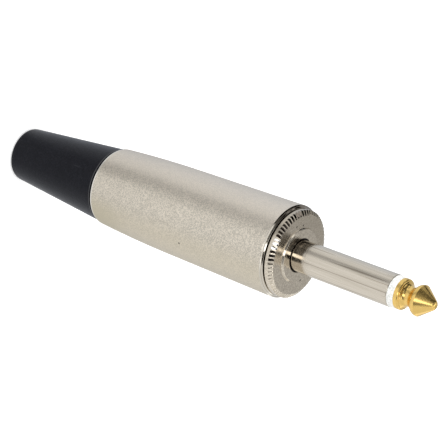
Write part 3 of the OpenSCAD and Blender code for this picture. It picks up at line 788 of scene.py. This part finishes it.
rows = drawn((SLEEVE_BORE_R, sleeve_rear, 0.05), (PRESSED_R, sleeve_rear, 0.05), (PRESSED_R, hub - 0.1),
             (ROOT_R, hub), (ROOT_R, hub + 2.97, 0.03), (SLEEVE_R, hub + 3.03, 0.03),
             (SLEEVE_R, sleeve_front, 0.16), (SLEEVE_BORE_R, sleeve_front, 0.05), steps=4)
turned("sleeve_tube", rows, sleeve_nickel, "plug", ["sleeve_contact"], "sleeve_nickel", around=ROUND_STEPS)

rows = drawn((RING_BORE_R, ring_rear, 0.05), (RING_NECK_R, ring_rear, 0.1),
             (RING_NECK_R, sleeve_front - 0.05), (RING_NECK_R, sleeve_front),
             (RING_REAR_R, sleeve_front, 0.08), (RING_FRONT_R, ring_front, 0.12),
             (RING_BORE_R, ring_front, 0.05), steps=4)
turned("ring_white", rows, ring_white, "plug", ["tip_ring"], "white_plastic", around=ROUND_STEPS)

# %% [markdown]
# ## The tip
# The tip is the shape that the socket's spring clicks over: a collar, a round groove, a cone with a
# rounded back and a blunt nose. The arcs meet the straights at tangents, which the code works out.

# %% Turn the tip and its rod
COLLAR_R, CONE_R, WAIST_R, CORE_R = 3.0, 3.02, 1.9, 2.28
GROOVE_R, CONE_BACK_R, NOSE_R, COLLAR_ROUND = 1.15, 1.6, 1.25, 0.45
ROD_R, RIVET_R, RIVET_EDGE_R, RIVET_LEN = 1.2, 1.5, 1.9, 0.8
GROOVE_UP, WIDEST_UP, BELT_LEN = 2.17, 4.42, 0.2


def arc(centre_r, centre_z, radius, start, stop, count):
    """Rows along an arc; the angles are in degrees from the outward radius."""
    points = []
    for k in range(count + 1):
        a = math.radians(start + (stop - start) * k / count)
        points.append((centre_r + radius * math.cos(a), centre_z + radius * math.sin(a), 0, 0))
    return points


groove_z, widest_z = ring_front + GROOVE_UP, ring_front + WIDEST_UP
belt_z, nose_z = widest_z + BELT_LEN, tip_end - NOSE_R
groove_centre, back_centre = WAIST_R + GROOVE_R, CONE_R - CONE_BACK_R
reach = math.hypot(CONE_R, nose_z - belt_z)
touch = math.degrees(math.acos(NOSE_R / reach)) - math.degrees(math.atan2(nose_z - belt_z, CONE_R))
groove_start = 180 + math.degrees(math.acos((groove_centre - COLLAR_R + COLLAR_ROUND * 0.9) / GROOVE_R))
groove_end = 180 - math.degrees(math.acos((groove_centre - CORE_R) / GROOVE_R))
back_start = -math.degrees(math.acos((CORE_R - back_centre) / CONE_BACK_R))
print("groove arc from", round(groove_start), "to", round(groove_end), "degrees")
print("cone back from", round(back_start), "and nose from", round(touch), "degrees")

rows = [(0, rod_end, 0, 0)]
rows += drawn((0.6, rod_end), (RIVET_R, rod_end, 0.3), (RIVET_EDGE_R, rod_end + RIVET_LEN, 0.1),
              (ROD_R, rod_end + RIVET_LEN), (ROD_R, ring_front - 0.3), (ROD_R, ring_front), (2.5, ring_front),
              (COLLAR_R, ring_front), closed=False, steps=4)
rows += arc(COLLAR_R - COLLAR_ROUND, groove_z - GROOVE_R - COLLAR_ROUND, COLLAR_ROUND, 0, 80, 8)
rows += arc(groove_centre, groove_z, GROOVE_R, groove_start, groove_end, 28)[1:]
rows += arc(back_centre, widest_z, CONE_BACK_R, back_start, 0, 18)[1:]
rows += arc(0, nose_z, NOSE_R, touch, 90, 14)
turned("tip_gold", rows, gold, "plug", ["tip_contact"], "gold_plate", around=ROUND_STEPS, closed=False)

# %% [markdown]
# ## The boot
# A moulded cone with a rounded rear edge, a cable hole that opens a little towards the rear, and a
# threaded spigot that pulls the chuck's jaws together as it is screwed in. Inside the spigot a conical
# well takes the chuck's end. The outline's first corner only sets how the hole's edge is rounded.

# %% Turn the boot
CABLE_R, BOOT_FRONT_R, BOOT_REAR_R = 3.6, 7.75, 5.55
BOOT_SPIGOT_R, BOOT_THREAD_R = 6.2, 6.27
WELL_MOUTH_R, WELL_R, WELL_DEPTH = 5.35, 4.85, 5.0

well_z = boot_shoulder - WELL_DEPTH
rows = drawn((CABLE_R, 0.4), (CABLE_R + 0.4, 0, 0.1), (BOOT_REAR_R, 0, 0.78),
             (BOOT_FRONT_R, boot_shoulder, 0.14), (BOOT_SPIGOT_R, boot_shoulder, 0.1),
             (BOOT_SPIGOT_R, boot_shoulder + 0.75), closed=False, steps=8)[1:]
rows += threaded(BOOT_THREAD_R, boot_shoulder + 0.8, boot_top - 0.3)
rows += drawn((BOOT_SPIGOT_R, boot_top - 0.25), (BOOT_SPIGOT_R, boot_top, 0.1), (WELL_MOUTH_R, boot_top, 0.1),
              (WELL_R, well_z, 0.1), (CABLE_R, well_z, 0.1), (CABLE_R, well_z - 1.0), closed=False, steps=3)
turned("boot_shell", rows, boot_black, "cable_boot", ["boot"], "boot_plastic")

# %% [markdown]
# ## Pieces inside
# The tube, bush, washers, terminals, liner and chuck are hidden until the barrel is unscrewed. Their
# packed shapes are right, so a copy of each is merged, given small bevels and its own finish.

# %% Dress the inner pieces
FLAT_BELOW, BEVEL_ABOVE = math.radians(1), math.radians(40)


def dressed(node_name, finish, body_name, bevel_width):
    """A copy of a packed piece with its triangles joined and its edges broken."""
    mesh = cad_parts[node_name].data.copy()
    mesh.materials.clear()
    mesh.materials.append(finish)
    work = bmesh.new()
    work.from_mesh(mesh)
    bmesh.ops.remove_doubles(work, verts=work.verts, dist=MERGE)
    bmesh.ops.dissolve_limit(work, angle_limit=FLAT_BELOW, verts=work.verts, edges=work.edges)
    for f in work.faces:
        f.smooth = True
        f.material_index = 0
    work.to_mesh(mesh)
    work.free()
    piece = placed(node_name + "_piece", mesh)
    edge = piece.modifiers.new("broken edges", "BEVEL")
    edge.width, edge.segments, edge.limit_method = bevel_width * MM, 2, "ANGLE"
    edge.angle_limit = BEVEL_ABOVE
    edge.harden_normals = True
    made_plain(piece)
    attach(piece, body_name)
    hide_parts(node_name)
    print(piece.name, len(piece.data.polygons), "faces")


dressed("rod_tube", tube_plastic, "plug", 0.05)
dressed("rear_bush", bush_dark, "plug", 0.08)
dressed("sleeve_terminal", tinned, "plug", 0.08)
dressed("insulating_washer", fibre, "plug", 0.05)
dressed("tip_terminal", tinned, "plug", 0.08)
dressed("end_washer", brass, "plug", 0.08)
dressed("liner", liner_plastic, "liner_tube", 0.08)
dressed("chuck", chuck_plastic, "cable_chuck", 0.06)

# %% [markdown]
# ## The studio
# Metal shows what stands round it, so the studio matters as much as the finish. The table takes the
# plug's shadow and is white to the camera and to every mirror, and so is the backdrop. Light Path tells
# the kinds of ray apart, so none of that white puts more light on the plug. The camera's share of it
# grows away from the plug, where less lamp light falls, so that the far table meets a white backdrop.

# %% Table and backdrop
WHITE = (1.0, 1.0, 1.0, 1)
PAPER = (0.82, 0.82, 0.82, 1)
TABLE_HALF, HAIR = 4.0, 0.00002
NEAR, FAR, NEAR_LIFT, FAR_LIFT = 0.25, 1.0, 0.45, 1.0


def seen_by(pen, *rays):
    """1 for rays of these kinds."""
    path = pen.node("ShaderNodeLightPath").outputs
    total = path[rays[0]]
    for ray in rays[1:]:
        total = pen.calc("MAXIMUM", total, path[ray])
    return total


table_white = fresh(bpy.data.materials, "table_white")
pen = Pen(table_white.node_tree)
paper = pen.node("ShaderNodeBsdfDiffuse", {"Color": PAPER})
place = pen.node("ShaderNodeTexCoord").outputs["Object"]
from_plug = pen.node("ShaderNodeVectorMath", {0: place}, operation="LENGTH").outputs["Value"]
strength = pen.times(seen_by(pen, "Is Camera Ray"), pen.ramp(from_plug, NEAR, FAR, NEAR_LIFT, FAR_LIFT))
lift = pen.node("ShaderNodeEmission", {"Strength": strength})
lit = pen.node("ShaderNodeAddShader", {0: paper.outputs[0], 1: lift.outputs[0]})
mirrored = pen.node("ShaderNodeEmission", {"Strength": 1.0})
in_mirror = seen_by(pen, "Is Glossy Ray", "Is Transmission Ray")
either = pen.node("ShaderNodeMixShader", {0: in_mirror, 1: lit.outputs[0], 2: mirrored.outputs[0]})
pen.node("ShaderNodeOutputMaterial", {"Surface": either.outputs[0]})
table_white.cycles.emission_sampling = "NONE"

mesh = bpy.data.meshes.new("table")
square = ((-1, -1), (1, -1), (1, 1), (-1, 1))
mesh.from_pydata([(TABLE_HALF * x, TABLE_HALF * y, -HAIR) for x, y in square], [], [(0, 1, 2, 3)])
mesh.materials.append(table_white)
table = placed("table", mesh)

world = fresh(bpy.data.worlds, "backdrop")
bpy.context.scene.world = world
pen = Pen(world.node_tree)
seen = seen_by(pen, "Is Camera Ray", "Is Glossy Ray", "Is Transmission Ray")
sky = pen.node("ShaderNodeBackground", {"Color": WHITE, "Strength": pen.calc("MULTIPLY_ADD", seen, 0.5, 0.5)})
pen.node("ShaderNodeOutputWorld", {"Surface": sky.outputs[0]})
print("table", 2 * TABLE_HALF, "m wide, just below the boot")

# %% [markdown]
# ## The tent
# A bright plug in a bright room has no edges, so product photographers hang dark and light cloths round
# it. This tent does that, and only mirrors see it. It is dark with a few light bands in front and on the
# left, light on the right, grey behind and bright overhead, and one lamp hangs in front. A disc stands
# for the table and carries its grey cards. Every value was read off what the plug's metal shows.

# %% Tent for the mirrors
TENT_R, ROUND_SEGMENTS = 2.5, 96
COOL_WHITE = (0.93, 0.97, 1.04, 1)
TENT_DARK = 0.012


def glossy_only(name, work, glow_of):
    """A staging object that only mirrors see; its glow is worked out from its own coordinates."""
    cloth = fresh(bpy.data.materials, name)
    pen = Pen(cloth.node_tree)
    place = pen.split(pen.node("ShaderNodeTexCoord").outputs["Object"])
    side = pen.calc("DEGREES", pen.calc("ARCTAN2", pen.times(place[0], -1.0), pen.times(place[1], -1.0)))
    strength, cool = glow_of(pen, side, place)
    tint = pen.node("ShaderNodeMix", {0: cool, 6: WHITE, 7: COOL_WHITE}, data_type="RGBA")
    glow = pen.node("ShaderNodeEmission", {"Strength": strength, "Color": tint.outputs[2]})
    pen.node("ShaderNodeOutputMaterial", {"Surface": glow.outputs[0]})
    cloth.cycles.emission_sampling = "NONE"
    mesh = bpy.data.meshes.new(name)
    work.to_mesh(mesh)
    work.free()
    mesh.materials.append(cloth)
    made = placed(name, mesh)
    made.visible_camera = made.visible_diffuse = made.visible_shadow = False
    made.visible_transmission = made.visible_volume_scatter = False


def card(pen, value, centre, half_width, soft):
    """1 within half_width of the centre, fading over soft."""
    off = pen.calc("ABSOLUTE", pen.calc("SUBTRACT", value, centre))
    return pen.one_less(pen.ramp(off, half_width, half_width + soft))


def hung(pen, total, cloths):
    """A level with the strength of each cloth added where the cloth is."""
    for strength, cloth in cloths:
        total = pen.calc("MULTIPLY_ADD", cloth, strength, total)
    return total


def tent_glow(pen, side, place):
    """Side is the angle round the plug from the camera's side, + towards -X; all in degrees."""
    rise = pen.calc("DEGREES", pen.calc("ARCSINE", pen.calc("DIVIDE", place[2], TENT_R)))

    def patch(across, upright):
        """A cloth given by its centre, half width and softness both ways."""
        return pen.times(card(pen, side, *across), card(pen, rise, *upright))

    def curtain(across, start, stop):
        """A cloth that hangs from the top down to a height."""
        return pen.times(card(pen, side, *across), pen.ramp(rise, start, stop))

    right_wall = pen.calc("MAXIMUM", patch((-100, 38, 14), (20, 34, 5)), curtain((-95, 36, 8), 46, 50))
    strength = hung(pen, TENT_DARK, (
        (0.85, right_wall),
        (0.9, curtain((122, 24, 8), 43, 48)),
        (0.4, curtain((-62, 12, 8), 42, 47)),
        (0.7, patch((10, 55, 12), (0, 18, 4))),
        (1.0, patch((0, 50, 14), (53.5, 4.5, 2))),
        (0.62, patch((78, 20, 8), (17, 9, 4))),
        (0.85, patch((105, 7, 5), (14, 5, 3))),
        (0.09, patch((42, 30, 8), (36, 8, 4))),
        (0.54, card(pen, pen.calc("ABSOLUTE", side), 180, 45, 8)),
        (2.8, patch((-12.5, 8, 5), (34, 16, 4))),
        (1.8, pen.ramp(rise, 76, 82)),
    ))
    return strength, 0.0


def table_glow(pen, side, place):
    """The table in the mirrors: white, with grey cards on it, and cooler towards the back."""
    out = pen.from_axis(place[0], place[1])
    strength = hung(pen, 1.0, (
        (-0.49, card(pen, side, 41, 8, 14)),
        (-0.12, card(pen, side, -36, 3, 10)),
        (-0.1, pen.ramp(side, 45, 70)),
        (-0.2, pen.ramp(pen.calc("ABSOLUTE", side), 105, 140)),
        (-0.1, pen.one_less(pen.ramp(out, 0.03, 0.09))),
    ))
    return strength, pen.ramp(side, 60, 130)


dome = bmesh.new()
bmesh.ops.create_uvsphere(dome, u_segments=ROUND_SEGMENTS, v_segments=ROUND_SEGMENTS // 2, radius=TENT_R)
bmesh.ops.delete(dome, geom=[v for v in dome.verts if v.co.z < -MM], context="VERTS")
glossy_only("tent", dome, tent_glow)
disc = bmesh.new()
bmesh.ops.create_circle(disc, cap_ends=True, segments=ROUND_SEGMENTS, radius=TENT_R,
                        matrix=Matrix.Translation((0, 0, HAIR)))
glossy_only("table_in_mirrors", disc, table_glow)
print("tent of", TENT_R, "m round the plug, for mirrors only")

# %% [markdown]
# ## Lamps
# Three large soft lamps light what isn't metal: the boot, the ring and the table. The mirrors don't see
# them, because the tent already stands for them.

# %% Hang the lamps
LIT_POINT = Vector((0, 0, 0.05))


def soft_lamp(name, place, size, power):
    """A round lamp that is aimed at the middle of the plug."""
    data = bpy.data.lights.new(name, "AREA")
    data.shape, data.size, data.energy = "DISK", size, power
    lamp = placed(name, data)
    lamp.location = place
    lamp.rotation_euler = (LIT_POINT - Vector(place)).to_track_quat("-Z", "Y").to_euler()
    lamp.visible_glossy = False


soft_lamp("overhead_lamp", (0.0, 0.0, 1.1), 1.4, 9.0)
soft_lamp("left_lamp", (-0.9, -0.6, 0.7), 0.9, 6.0)
soft_lamp("right_lamp", (0.9, -0.5, 0.6), 0.9, 3.2)
print("lamps:", [(lamp.name, lamp.energy) for lamp in bpy.data.lights])

# %% [markdown]
# ## Picture settings
# The Standard view shows colours as they are written.

# %% Picture settings
bpy.context.scene.view_settings.view_transform = "Standard"

# %% [markdown]
# ## Finish
